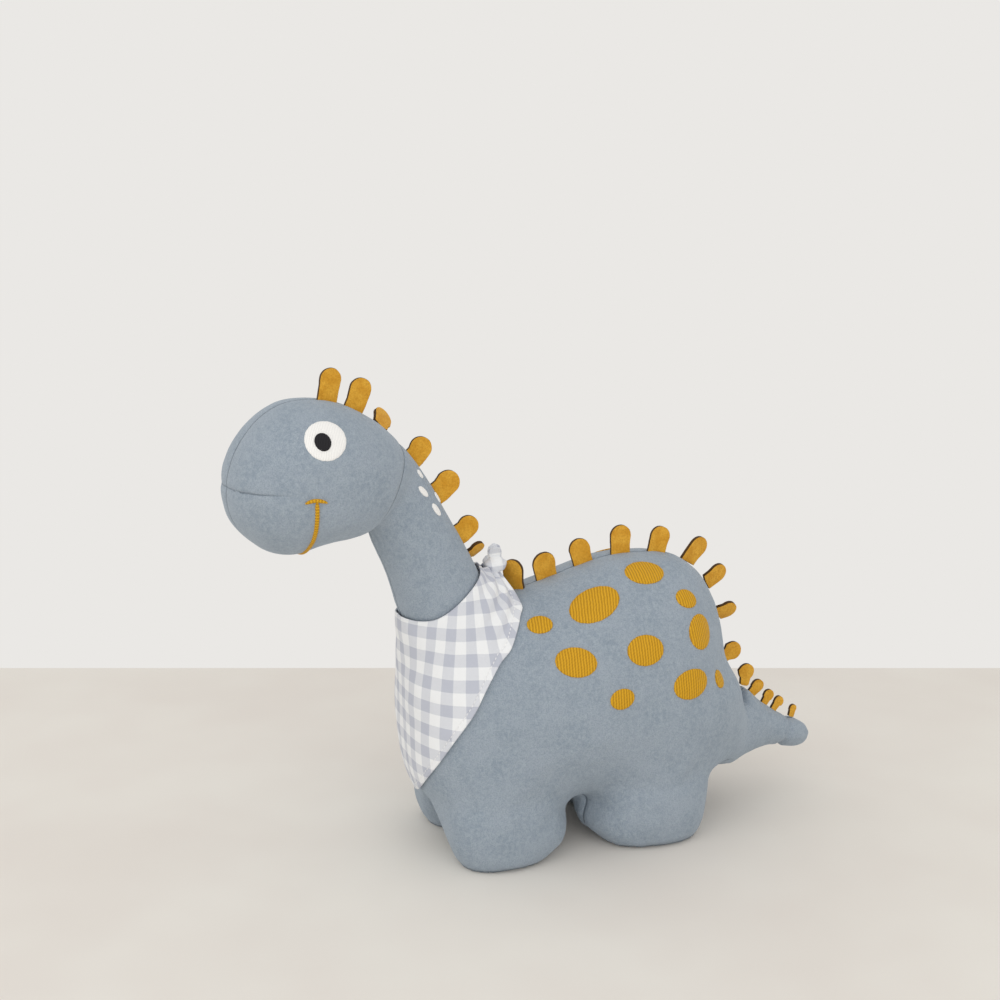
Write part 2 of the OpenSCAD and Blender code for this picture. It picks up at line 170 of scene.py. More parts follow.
def bake_modifiers(obj):
    """Puts what the modifiers make into the object's own mesh."""
    graph = bpy.context.evaluated_depsgraph_get()
    mesh = bpy.data.meshes.new_from_object(obj.evaluated_get(graph))
    obj.modifiers.clear()
    obj.data = mesh
    mesh.shade_smooth()


def add_attribute(obj, name, values, kind="FLOAT"):
    attribute = obj.data.attributes.new(name, kind, "POINT")
    field = "value" if kind == "FLOAT" else "vector"
    attribute.data.foreach_set(field, np.asarray(values, np.float32).ravel())


def weld(obj):
    """Joins points that coincide, and turns every face outward."""
    shape = bmesh.new()
    shape.from_mesh(obj.data)
    bmesh.ops.remove_doubles(shape, verts=shape.verts[:], dist=1e-6)
    bmesh.ops.recalc_face_normals(shape, faces=shape.faces[:])
    shape.to_mesh(obj.data)
    shape.free()


def groups_of(shape):
    """The separate parts of a mesh, each as a list of its points."""
    left = set(shape.verts)
    while left:
        edge = [left.pop()]
        group = []
        while edge:
            v = edge.pop()
            group.append(v)
            for e in v.link_edges:
                other = e.other_vert(v)
                if other in left:
                    left.remove(other)
                    edge.append(other)
        yield group


def tube_faces(rings, sides, first=0):
    """The faces between rings of points, in which each ring closes on itself."""
    faces = []
    for i in range(rings):
        for k in range(sides):
            a, b = first + i * sides + k, first + i * sides + (k + 1) % sides
            faces.append([a, b, b + sides, a + sides])
    return faces


def sheet_faces(rows, width, first=0):
    """The faces between rows of points, with width points in each row."""
    faces = []
    for i in range(rows):
        for k in range(width - 1):
            a = first + i * width + k
            faces.append([a, a + 1, a + 1 + width, a + width])
    return faces


def joined(parts):
    """Several sets of points, faces and stitch places as one set."""
    points, faces, stitches = [], [], []
    for more, sides, places in parts:
        faces += [[i + len(points) for i in side] for side in sides]
        points += more
        stitches += places
    return points, faces, stitches


def surface_of(obj):
    mesh = obj.data
    return BVHTree.FromPolygons([v.co for v in mesh.vertices], [p.vertices[:] for p in mesh.polygons])


def smooth_step(low, high, value):
    t = np.clip((value - low) / (high - low), 0, 1)
    return t * t * (3 - 2 * t)


def curve_through(points, count):
    """A smooth curve through the points, as count places with even steps between the points."""
    points = np.array([tuple(p) for p in points])
    padded = np.vstack([2 * points[0] - points[1], points, 2 * points[-1] - points[-2]])
    places = np.linspace(0, len(points) - 1, count)
    start = np.minimum(places.astype(int), len(points) - 2)
    t = (places - start)[:, None]
    a, b, c, d = (padded[start + i] for i in range(4))
    return 0.5 * (2 * b + (c - a) * t + (2 * a - 5 * b + 4 * c - d) * t**2 + (3 * b - a - 3 * c + d) * t**3)


def evenly_spaced(points, count):
    steps = np.linalg.norm(np.diff(points, axis=0), axis=1)
    length = np.concatenate([[0], np.cumsum(steps)])
    wanted = np.linspace(0, length[-1], count)
    return np.stack([np.interp(wanted, length, points[:, i]) for i in range(3)], axis=1)


# ---- Materials ----

CHECK_REPEAT = 12.8 * MM
WOVEN_THREAD = 0.5 * MM
HEM_SEAM = 4.2 * MM  # how far the row of stitches is from the cloth's edge
HEM_STITCH = 2.6 * MM


def new_material(name):
    material = bpy.data.materials.new(name)
    material.use_nodes = True
    tree = material.node_tree
    shader = tree.nodes["Principled BSDF"]
    return material, tree, shader


def node(tree, kind, inputs=None, **settings):
    made = tree.nodes.new(kind)
    for key, value in settings.items():
        setattr(made, key, value)
    for key, value in (inputs or {}).items():
        socket = made.inputs[key]
        if isinstance(value, bpy.types.NodeSocket):
            tree.links.new(value, socket)
        else:
            socket.default_value = value
    return made


def attribute(tree, name, output="Fac"):
    return node(tree, "ShaderNodeAttribute", attribute_name=name).outputs[output]


def math_node(tree, operation, a, b=0.0, c=0.0):
    return node(tree, "ShaderNodeMath", {0: a, 1: b, 2: c}, operation=operation).outputs[0]


def waves(tree, value, length):
    """A sine wave of this length along the value."""
    return math_node(tree, "SINE", math_node(tree, "MULTIPLY", value, math.tau / length))


def band(tree, value, low, high, start=0.0, end=1.0):
    """Goes smoothly from start to end as the value goes from low to high."""
    inputs = {"Value": value, "From Min": low, "From Max": high, "To Min": start, "To Max": end}
    return node(tree, "ShaderNodeMapRange", inputs, interpolation_type="SMOOTHSTEP").outputs[0]


def blend_colours(tree, share, first, second):
    mixed = node(tree, "ShaderNodeMix", data_type="RGBA")
    for index, value in ((0, share), (6, first), (7, second)):
        if isinstance(value, bpy.types.NodeSocket):
            tree.links.new(value, mixed.inputs[index])
        else:
            mixed.inputs[index].default_value = value
    return mixed.outputs[2]


def speckle(tree, scale, detail=3.0, place=None, rough=0.6):
    inputs = {"Scale": scale, "Detail": detail, "Roughness": rough}
    if place is None:
        place = attribute(tree, "rest", "Vector")
    inputs["Vector"] = place
    return node(tree, "ShaderNodeTexNoise", inputs).outputs["Fac"]


def bump(tree, height, distance, strength=1.0, below=None):
    inputs = {"Height": height, "Distance": distance, "Strength": strength}
    if below is not None:
        inputs["Normal"] = below
    return node(tree, "ShaderNodeBump", inputs).outputs["Normal"]


def colour(red, green, blue):
    """A shader colour from the red, green and blue that it shows on a screen, each from 0 to 255."""
    def linear(value):
        value = value / 255
        return value / 12.92 if value <= 0.04045 else ((value + 0.055) / 1.055) ** 2.4
    return (linear(red), linear(green), linear(blue), 1)


def velour_material():
    """Short blue-grey nap that lies in soft patches, with painted shade: thin dark lines in the grooves where the
    panels are sewn.
    """
    material, tree, shader = new_material("velour")
    nap = speckle(tree, 1500, 2)
    patches = speckle(tree, 60, 4)
    clumps = speckle(tree, 420, 3)
    tone = blend_colours(tree, band(tree, patches, 0.32, 0.68), colour(141, 153, 166), colour(156, 166, 178))
    tone = blend_colours(tree, band(tree, clumps, 0.3, 0.72), tone, colour(160, 171, 181))
    tone = blend_colours(tree, band(tree, nap, 0.36, 0.7, 0, 0.5), tone, colour(118, 131, 144))
    centre = math_node(tree, "ABSOLUTE", attribute(tree, "seam_middle"))
    other = math_node(tree, "ABSOLUTE", attribute(tree, "seam_other"))
    nearest = math_node(tree, "MINIMUM", centre, other)
    # Painted shade: the colour darkens towards dark blue-grey within 0.75 mm of a seam, standing in for the shade
    # in its groove.
    tone = blend_colours(tree, band(tree, nearest, 0.15 * MM, 0.75 * MM, 0.62, 0), tone, colour(70, 80, 92))
    tree.links.new(tone, shader.inputs["Base Color"])
    groove = band(tree, nearest, 0, 1.3 * MM)
    fine = bump(tree, nap, 0.35 * MM, 0.5)
    soft = bump(tree, clumps, 0.9 * MM, 0.45, fine)
    tree.links.new(bump(tree, groove, 0.5 * MM, 0.8, soft), shader.inputs["Normal"])
    shader.inputs["Roughness"].default_value = 0.95
    shader.inputs["Specular IOR Level"].default_value = 0.15
    shader.inputs["Sheen Weight"].default_value = 0.32
    shader.inputs["Sheen Roughness"].default_value = 0.45
    shader.inputs["Sheen Tint"].default_value = colour(214, 224, 232)
    return material


def felt_material():
    """Mustard felt. The cut edge is painted dark brown as shade, and the face has loose fibres."""
    material, tree, shader = new_material("felt")
    fibres = speckle(tree, 900, 5, rough=0.7)
    patches = speckle(tree, 160, 3)
    tone = blend_colours(tree, band(tree, patches, 0.3, 0.7), colour(208, 150, 44), colour(226, 172, 62))
    tone = blend_colours(tree, band(tree, fibres, 0.4, 0.72, 0, 0.55), tone, colour(172, 118, 26))
    cut = attribute(tree, "cut")
    ragged = math_node(tree, "ADD", cut, math_node(tree, "MULTIPLY", fibres, 0.35))
    # Painted shade: the plate's rim is darkened to brown, with a ragged border from the fibres.
    tone = blend_colours(tree, band(tree, ragged, 0.55, 0.85), tone, colour(74, 50, 20))
    tree.links.new(tone, shader.inputs["Base Color"])
    tree.links.new(bump(tree, fibres, 0.5 * MM, 0.55), shader.inputs["Normal"])
    shader.inputs["Roughness"].default_value = 0.92
    shader.inputs["Specular IOR Level"].default_value = 0.18
    shader.inputs["Sheen Weight"].default_value = 0.12
    return material


def thread_material(name, light, dark, row=1.6 * MM, stitch=0.8 * MM, relief=0.4):
    """Filled embroidery: ridges of short stitches side by side, with the thread's gloss. The tone is painted
    highlight on the crests and painted shade in the grooves, with a random grain mixed in.
    """
    material, tree, shader = new_material(name)
    place = node(tree, "ShaderNodeSeparateXYZ", {0: attribute(tree, "stitch", "Vector")})
    wander = math_node(tree, "MULTIPLY", speckle(tree, 220, 2), 0.9 * MM)
    across = math_node(tree, "ADD", place.outputs["X"], wander)
    slanted = math_node(tree, "MULTIPLY_ADD", place.outputs["X"], 0.45, place.outputs["Y"])
    ridge = waves(tree, across, row)
    stitches = waves(tree, slanted, stitch)
    height = math_node(tree, "MULTIPLY_ADD", ridge, 0.4, math_node(tree, "MULTIPLY", stitches, 0.3))
    grain = speckle(tree, 1300, 2)
    height = math_node(tree, "ADD", height, math_node(tree, "MULTIPLY", grain, 0.5))
    # Painted highlight and shade: the tone goes from the dark colour in the grooves to the light colour on the
    # crests; the grain adds random tone.
    tone = blend_colours(tree, band(tree, height, -0.45, 0.85), dark, light)
    tree.links.new(tone, shader.inputs["Base Color"])
    tree.links.new(bump(tree, height, 0.45 * MM, relief), shader.inputs["Normal"])
    shader.inputs["Roughness"].default_value = 0.55
    shader.inputs["Specular IOR Level"].default_value = 0.25
    return material


def wandering(tree, place, most):
    """The place, moved to and fro by a slow noise, so that woven threads don't run quite straight."""
    bend = node(tree, "ShaderNodeTexNoise", {"Vector": place, "Scale": 30.0, "Detail": 1.0})
    shifted = node(
        tree, "ShaderNodeVectorMath", {0: bend.outputs["Color"], 1: (0.5, 0.5, 0.5)}, operation="SUBTRACT"
    )
    moved = node(
        tree, "ShaderNodeVectorMath", {0: shifted.outputs[0], 1: (most,) * 3, 2: place},
        operation="MULTIPLY_ADD",
    )
    return moved.outputs[0]


def hem_stitches(tree):
    """A line along the cloth's edge, and the stitches in it."""
    from_line = math_node(tree, "SUBTRACT", attribute(tree, "hem"), HEM_SEAM)
    line = band(tree, math_node(tree, "ABSOLUTE", from_line), 0.15 * MM, 0.5 * MM, 1, 0)
    dash = band(tree, waves(tree, attribute(tree, "run"), HEM_STITCH), -0.4, 0, 0, 1)
    return line, math_node(tree, "MULTIPLY", line, dash)


def gingham_material():
    """Woven checks, white and pale grey, with the threads and the hem's row of stitches."""
    material, tree, shader = new_material("gingham")
    place = attribute(tree, "weave", "Vector")
    split = node(tree, "ShaderNodeSeparateXYZ", {0: wandering(tree, place, 1.6 * MM)})
    stripes, threads = [], []
    for axis in ("X", "Y"):
        stripes.append(band(tree, waves(tree, split.outputs[axis], CHECK_REPEAT), -0.1, 0.1))
        threads.append(waves(tree, split.outputs[axis], WOVEN_THREAD))
    both = math_node(tree, "MULTIPLY", math_node(tree, "ADD", *stripes), 0.5)
    slub = speckle(tree, 700, 3, place=place)
    depth = math_node(tree, "MULTIPLY_ADD", slub, 0.16, math_node(tree, "ADD", both, -0.08))
    tone = blend_colours(tree, depth, colour(238, 240, 242), colour(190, 194, 206))
    line, stitch = hem_stitches(tree)
    tone = blend_colours(tree, math_node(tree, "MULTIPLY", stitch, 0.6), tone, colour(250, 250, 250))
    tree.links.new(tone, shader.inputs["Base Color"])
    weave = math_node(tree, "MULTIPLY", threads[0], threads[1])
    cloth = bump(tree, weave, 0.12 * MM, 0.35)
    wrinkled = bump(tree, speckle(tree, 140, 3, place=place), 0.8 * MM, 0.35, cloth)
    sunk = math_node(tree, "SUBTRACT", math_node(tree, "MULTIPLY", stitch, 0.6), line)
    tree.links.new(bump(tree, sunk, 0.3 * MM, 0.7, wrinkled), shader.inputs["Normal"])
    shader.inputs["Roughness"].default_value = 0.85
    shader.inputs["Specular IOR Level"].default_value = 0.2
    shader.inputs["Sheen Weight"].default_value = 0.08
    return material


def floor_material():
    material, tree, shader = new_material("pale_floor")
    place = node(tree, "ShaderNodeTexCoord").outputs["Object"]
    cloth = speckle(tree, 5, 3, place=place)
    tone = blend_colours(tree, band(tree, cloth, 0.3, 0.7), colour(226, 221, 215), colour(231, 228, 222))
    tree.links.new(tone, shader.inputs["Base Color"])
    shader.inputs["Roughness"].default_value = 1.0
    shader.inputs["Specular IOR Level"].default_value = 0.05
    return material


MATERIALS = {
    "velour": velour_material(),
    "felt": felt_material(),
    # For each thread, the first colour is the painted highlight on the crests and the second the painted shade in
    # the grooves.
    "embroidery": thread_material("embroidery", colour(222, 170, 30), colour(166, 117, 4)),
    "white_thread": thread_material(
        "white_thread", colour(252, 251, 248), colour(226, 226, 226), 0.8 * MM, 0.6 * MM, 0.3
    ),
    "black_thread": thread_material(
        "black_thread", colour(34, 32, 38), colour(10, 10, 14), 0.8 * MM, 0.6 * MM, 0.4
    ),
    "gingham": gingham_material(),
}


def dress(obj, slot):
    """Gives the object its material, and remembers where each of its points is at rest for the texture."""
    obj.data.materials.clear()
    obj.data.materials.append(MATERIALS[slot])
    if "rest" not in obj.data.attributes:
        add_attribute(obj, "rest", coordinates(obj), "FLOAT_VECTOR")
    return obj


# ---- The sewn and stuffed skin ----

def hull(points):
    """The convex hull of the points, as its points and faces."""
    shape = bmesh.new()
    made = [shape.verts.new(p) for p in points]
    result = bmesh.ops.convex_hull(shape, input=made)
    loose = set(result["geom_interior"]) | set(result["geom_unused"])
    bmesh.ops.delete(shape, geom=[g for g in loose if isinstance(g, bmesh.types.BMVert)], context="VERTS")
    shape.verts.index_update()
    found = [v.co[:] for v in shape.verts], [[v.index for v in f.verts] for f in shape.faces]
    shape.free()
    return found


def ball(centre, radii, rings=10):
    points = []
    for i in range(1, rings):
        up = math.pi * i / rings
        for k in range(2 * rings):
            turn = math.pi * k / rings
            direction = (math.sin(up) * math.cos(turn), math.sin(up) * math.sin(turn), math.cos(up))
            points.append([centre[j] + radii[j] * direction[j] for j in range(3)])
    return np.array(points)


def along_line(points, line):
    """How far along a bent line each point's nearest place lies."""
    best = np.full(len(points), np.inf)
    place = np.zeros(len(points))
    done = 0.0
    for a, b in zip(line[:-1], line[1:]):
        a, b = np.array(a), np.array(b)
        length = np.linalg.norm(b - a)
        low = -np.inf if done == 0 else 0
        high = np.inf if np.allclose(b, line[-1]) else 1
        t = np.clip((points - a) @ (b - a) / length**2, low, high)
        distance = np.linalg.norm(points - (a + t[:, None] * (b - a)), axis=1)
        nearer = distance < best
        best[nearer] = distance[nearer]
        place[nearer] = done + t[nearer] * length
        done += length
    return place


def slices(points, place, width, step):
    """Hulls of overlapping slices of a long form."""
    start = place.min()
    while start < place.max() - width / 2:
        chosen = points[(place >= start) & (place <= start + width)]
        if len(chosen) > 8:
            yield hull(chosen)
        start += step


def stuffed_forms():
    """Overlapping closed forms that together fill the toy's outline, taken from the CAD nodes."""
    torso = points_on_edges(*TORSO_NODES)
    arch = arch_middle()
    over_arch = (abs(torso[:, 1] - arch) < ARCH_HALF) & (torso[:, 2] > BELLY)
    lowered = torso - np.outer(over_arch & (torso[:, 2] < LEG_TOP), (0, 0, 3 * MM))
    barrel = lowered[(torso[:, 2] > LEG_TOP) | (abs(torso[:, 0]) < LEG_GAP) | over_arch]
    yield from slices(barrel, barrel[:, 1], 26 * MM, 11 * MM)
    front_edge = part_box("sole_front_left")[0].y - LEG_SPREAD
    rear_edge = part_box("sole_rear_left")[1].y + LEG_SPREAD
    under_arch = (abs(torso[:, 1] - arch) < ARCH_HALF) & (torso[:, 2] > BELLY + 4 * MM)
    low = torso[(torso[:, 2] < LEG_TOP + 8 * MM) & (abs(torso[:, 0]) > LEG_GAP) & ~under_arch]
    low = low[(low[:, 1] > front_edge) & (low[:, 1] < rear_edge)]
    for side in (1, -1):
        for end in (1, -1):
            leg = low[(low[:, 0] * side > 0) & ((low[:, 1] - arch) * end > 0)]
            yield hull(leg)
    neck = points_on_edges(*NECK_NODES)
    neck_line = [pivot("neck_bow"), pivot("neck_sway"), pivot("head_nod")]
    yield from slices(neck, along_line(neck, neck_line), 20 * MM, 7 * MM)
    yield hull(np.vstack([neck[neck[:, 2] < 150 * MM], ball(pivot("neck_bow"), [21 * MM] * 3)]))
    head = points_on_edges(*HEAD_NODES)
    seam_point, seam_way = head_side()
    ahead = (head - np.array(seam_point)) @ np.array(seam_way)
    yield from slices(head, ahead, 30 * MM, 9 * MM)
    collar = head[ahead < 12 * MM]
    yield hull(np.vstack([collar, neck[along_line(neck, neck_line) > NECK_SHOULDER]]))
    tail = points_on_edges(*TAIL_NODES, *TAIL_TIP_NODES)
    bend = pivot("tail_tip_bend")
    tail_line = [pivot("tail_wag"), bend, bend + Vector((0, 30, -10)) * MM]
    yield from slices(tail, along_line(tail, tail_line), 13 * MM, 5 * MM)
    rump = torso[(torso[:, 1] > 106 * MM) & (torso[:, 2] > 24 * MM) & (torso[:, 2] < 84 * MM)]
    yield hull(np.vstack([rump, tail[tail[:, 1] < 127 * MM]]))


def join_forms(name, forms):
    points, faces = [], []
    for more, sides in forms:
        faces += [[i + len(points) for i in side] for side in sides]
        points += more
    return new_object(name, points, faces)


def keep_largest(obj):
    """Leaves only the part of the mesh that has the most points."""
    shape = bmesh.new()
    shape.from_mesh(obj.data)
    best = set(max(groups_of(shape), key=len))
    bmesh.ops.delete(shape, geom=[v for v in shape.verts if v not in best], context="VERTS")
    shape.to_mesh(obj.data)
    shape.free()


def let_pressure_fill(obj, most):
    """Cloth pressure rounds the skin out, and no point moves further than most."""
    start = coordinates(obj)
    cloth = obj.modifiers.new("stuffing", "CLOTH")
    cloth.settings.use_pressure = True
    cloth.settings.uniform_pressure_force = 4
    cloth.settings.effector_weights.gravity = 0
    for step in range(1, 21):
        bpy.context.scene.frame_set(step)
    bake_modifiers(obj)
    bpy.context.scene.frame_set(1)
    move = coordinates(obj) - start
    length = np.linalg.norm(move, axis=1)[:, None]
    set_coordinates(obj, start + move * np.minimum(1, most / np.maximum(length, 1e-9)))


def head_frame(points):
    """The points as they would be if the head looked straight ahead."""
    centre = pivot("head_turn")
    turn = Matrix.Rotation(-HEAD_TURN, 3, "Z")
    return (points - np.array(centre)) @ np.array(turn).T + np.array(centre)


def head_side():
    """Where the head's seam with the neck lies: a point on it, and the way to the head."""
    straight = Vector((0, -math.sin(HEAD_SEAM_TILT), math.cos(HEAD_SEAM_TILT)))
    return pivot("head_nod"), Matrix.Rotation(HEAD_TURN, 3, "Z") @ straight


def leg_seams(obj, points):
    """How far each point is from the seam round a sole or from the gusset's, wherever those are near."""
    sole_seam, gusset_half, skirt = 0.9 * MM, 27 * MM, 60 * MM
    on_sole = points[:, 2] - sole_seam
    gusset = np.maximum(abs(points[:, 0]) - gusset_half, points[:, 2] - LEG_TOP)
    outside = vertex_normals(obj)[:, 1] * np.sign(points[:, 1] - arch_middle()) > 0.2
    gusset = np.where(outside, NO_SEAM, gusset)
    nearest = np.where(abs(on_sole) < abs(gusset), on_sole, gusset)
    return np.where(points[:, 2] < skirt, nearest, NO_SEAM)


def nose_dart(points):
    """How far each point is from the dart across the nose, which fades out behind, and where it runs."""
    straight = head_frame(points)
    low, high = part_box("head_panel_left")
    height = low.z + 0.48 * (high.z - low.z)
    from_nose = straight[:, 1] - low.y
    fading = 4 * MM * smooth_step(4 * MM, 60 * MM, from_nose)
    return abs(straight[:, 2] - height) + fading, from_nose < 50 * MM


def dent(distance, depth, spread):
    return depth * np.exp(-((distance / spread) ** 2))


def carve_seams(obj):
    """Pulls the skin in along its seams, and stores how far each point is from them for the material."""
    points = coordinates(obj)
    seam_point, seam_way = head_side()
    ahead = (points - np.array(seam_point)) @ np.array(seam_way)
    in_head = ahead > 0
    middle_seam = np.where(in_head, head_frame(points)[:, 0], points[:, 0])
    chin_height = 165 * MM
    other = np.where(points[:, 2] > chin_height, ahead, leg_seams(obj, points))
    dart, on_nose = nose_dart(points)
    other = np.where(in_head & on_nose & (abs(dart) < abs(ahead)), dart, other)
    crease = (points - np.array(pivot("tail_tip_bend"))) @ np.array(TIP_WAY)
    on_tail = points[:, 1] > pivot("tail_wag").y + 15 * MM
    other = np.where(on_tail, NO_SEAM, other)
    depth = dent(middle_seam, 0.55 * MM, SEAM_SPREAD) + dent(other, 0.5 * MM, SEAM_SPREAD)
    depth += np.where(on_tail, dent(crease, 1.6 * MM, CREASE_SPREAD), 0)
    set_coordinates(obj, points - vertex_normals(obj) * depth[:, None])
    add_attribute(obj, "seam_middle", middle_seam)
    add_attribute(obj, "seam_other", other)


def crumple(obj, height, scale):
    """Uneven stuffing: the skin rises and falls a little over a few centimetres."""
    points = coordinates(obj)
    rise = np.array([noise(Vector(p) * scale) for p in points])
    set_coordinates(obj, points + vertex_normals(obj) * (rise * height)[:, None])


def spread_feet(points):
    """The feet bulge into the arch just above their soles."""
    up = points[:, 2]
    from_arch = points[:, 1] - arch_middle()
    foot = smooth_step(2 * MM, 8 * MM, up) * (1 - smooth_step(12 * MM, 26 * MM, up))
    near_arch = 1 - smooth_step(14 * MM, 34 * MM, abs(from_arch))
    points[:, 1] -= np.sign(from_arch) * foot * near_arch * 4.6 * MM


def draw_rump_in(points):
    """High up behind, the torso narrows to a rounder end."""
    high = smooth_step(78 * MM, 100 * MM, points[:, 2])
    behind = smooth_step(70 * MM, 112 * MM, points[:, 1])
    points[:, 0] *= 1 - 0.26 * high * behind
    points[:, 1] -= 4.2 * MM * high * behind


def lift_jaw(points):
    """The underside of the head rises towards the throat."""
    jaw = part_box("head_filling")[0].z
    low = 1 - smooth_step(jaw + 2 * MM, jaw + 22 * MM, points[:, 2])
    throat = in_box("head_filling", 0.5, 0.58, 0).y
    under = np.exp(-(((points[:, 1] - throat) / (17 * MM)) ** 2)) * (points[:, 2] > jaw - 8 * MM)
    points[:, 2] += 4.5 * MM * low * under


def shape_by_hand(obj):
    """Fills the skin out again after the smoothing, and moves it where the CAD's outline is too plain."""
    points = coordinates(obj)
    points += vertex_normals(obj) * 0.6 * MM
    spread_feet(points)
    draw_rump_in(points)
    lift_jaw(points)
    set_coordinates(obj, points)


def flatten_soles(obj):
    """Sets the skin on the floor, and presses what is just above it almost flat."""
    points = coordinates(obj)
    points[:, 2] = np.maximum(points[:, 2], 0)
    sole = points[:, 2] < 1.2 * MM
    points[sole, 2] *= 0.3
    set_coordinates(obj, points)


def whole_skin():
    """The toy's skin as one closed form, before it is cut into its pieces."""
    skin = join_forms("skin", stuffed_forms())
    remesh = skin.modifiers.new("voxels", "REMESH")
    remesh.mode = "VOXEL"
    remesh.voxel_size = VOXEL
    bake_modifiers(skin)
    keep_largest(skin)
    relax = skin.modifiers.new("relax", "SMOOTH")
    relax.factor = 0.5
    relax.iterations = 8
    bake_modifiers(skin)
    shape_by_hand(skin)
    let_pressure_fill(skin, 1.6 * MM)
    finer = skin.modifiers.new("finer", "SUBSURF")
    finer.levels = 1
    bake_modifiers(skin)
    crumple(skin, 0.7 * MM, 32)
    crumple(skin, 0.25 * MM, 110)
    flatten_soles(skin)
    add_attribute(skin, "rest", coordinates(skin), "FLOAT_VECTOR")
    carve_seams(skin)
    return skin


def cut_out(skin, name, cuts):
    """The skin on the far side of each cut, closed where it was cut. A cut is a point and a way."""
    obj = skin.copy()
    obj.data = skin.data.copy()
    obj.name = name
    bpy.context.scene.collection.objects.link(obj)
    shape = bmesh.new()
    shape.from_mesh(obj.data)
    for point, way in cuts:
        bmesh.ops.bisect_plane(
            shape, geom=shape.verts[:] + shape.edges[:] + shape.faces[:], dist=1e-7,
            plane_co=point, plane_no=way, clear_inner=True,
        )
        rim = [e for e in shape.edges if e.is_boundary]
        bmesh.ops.holes_fill(shape, edges=rim, sides=0)
        for e in rim:
            e.smooth = False
    shape.to_mesh(obj.data)
    shape.free()
    return obj


def stuffed_piece(skin, name, cuts, nodes, bodies):
    """One part of the skin. A part that spans two bodies is left where it is; a part of one body rides with it."""
    piece = dress(cut_out(skin, name, cuts), "velour")
    if len(bodies) == 2:
        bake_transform(piece)
    else:
        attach(piece, bodies[0])
    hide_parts(*nodes)
    return piece


def build_skin(skin):
    """Cuts the skin where the toy bends and where the head is sewn on."""
    base, bow_end = pivot("neck_bow"), pivot("neck_sway")
    lean = Vector((0, -math.sin(NECKLINE_TILT), math.cos(NECKLINE_TILT)))
    neckline = base + lean * 3 * MM
    rise = (bow_end - base).normalized()
    reach = (pivot("head_nod") - bow_end).normalized()
    low_cut = bow_end - rise * 9 * MM
    high_cut = bow_end + reach * 12 * MM
    seam_point, seam_way = head_side()
    root = pivot("tail_lift")
    tail_way = Vector((0, math.cos(TAIL_SLOPE), -math.sin(TAIL_SLOPE)))
    root_cut = root - tail_way * 5.4 * MM
    wag_cut = root + tail_way * 4 * MM
    tip = pivot("tail_tip_bend")
    tip_cut = tip - TIP_WAY * 4 * MM
    stuffed_piece(
        skin, "torso_skin", [(neckline, -lean), (root_cut, -tail_way)], TORSO_NODES, ["torso"]
    )
    stuffed_piece(
        skin, "neck_base_skin", [(neckline, lean), (low_cut, -rise)],
        ["neck_lower_left", "neck_lower_right", "neck_lower_filling"], ["torso", "neck_lower"],
    )
    stuffed_piece(
        skin, "neck_middle_skin", [(low_cut, rise), (high_cut, -reach)],
        ["neck_upper_left", "neck_upper_right"], ["neck_lower", "neck_upper"],
    )
    stuffed_piece(
        skin, "neck_top_skin", [(high_cut, reach), (seam_point, -seam_way)],
        ["neck_upper_filling", "head_root_filling"], ["neck_upper", "head_root"],
    )
    stuffed_piece(
        skin, "head_skin", [(seam_point, seam_way)], HEAD_NODES, ["head_root", "head"],
    )
    stuffed_piece(
        skin, "tail_root_skin", [(root_cut, tail_way), (wag_cut, -tail_way)],
        ["tail_root_filling"], ["torso", "tail_root"],
    )
    stuffed_piece(
        skin, "tail_skin", [(wag_cut, tail_way), (tip_cut, -TIP_WAY)], TAIL_NODES,
        ["tail_root", "tail"],
    )
    stuffed_piece(
        skin, "tail_tip_skin", [(tip_cut, TIP_WAY)], TAIL_TIP_NODES, ["tail", "tail_tip"],
    )


# ---- Embroidery ----

def islands(name):
    """The separate solids of a CAD node, each as an array of its points."""
    shape = bmesh.new()
    shape.from_mesh(frame["nodes"][name].data)
    bmesh.ops.remove_doubles(shape, verts=shape.verts[:], dist=1e-6)
    found = [np.array([v.co[:] for v in group]) for group in groups_of(shape)]
    shape.free()
    return sorted(found, key=lambda group: tuple(np.round(group.mean(0), 5)))


def flat_frame(points):
    """The middle of a thin oval, its long, short and outward directions, and its half sizes."""
    low, high = points.min(0), points.max(0)
    centre = (low + high) / 2
    centred = points - points.mean(0)
    directions = np.linalg.eigh(centred.T @ centred)[1].T
    out, short, long = directions
    sizes = [np.ptp(points @ d) / 2 for d in (long, short)]
    return Vector(centre), Vector(long), Vector(short), Vector(out), sizes


# A patch from its rim inward: how far out each ring is, and how high, as shares of its size and height.
PATCH_RINGS = [
    (1.0, -0.25), (0.995, 0.3), (0.97, 0.6), (0.9, 0.8), (0.75, 0.9), (0.6, 0.95), (0.45, 1.0), (0.3, 1.0),
    (0.15, 1.0)
]
PATCH_SIDES = 56

# A line of satin stitch across its width: how far to the side each point is, and how high.
RIBBON_PROFILE = [
    (-1.0, -0.3), (-0.85, 0.55), (-0.45, 0.92), (0.0, 1.0), (0.45, 0.92), (0.85, 0.55), (1.0, -0.3)
]


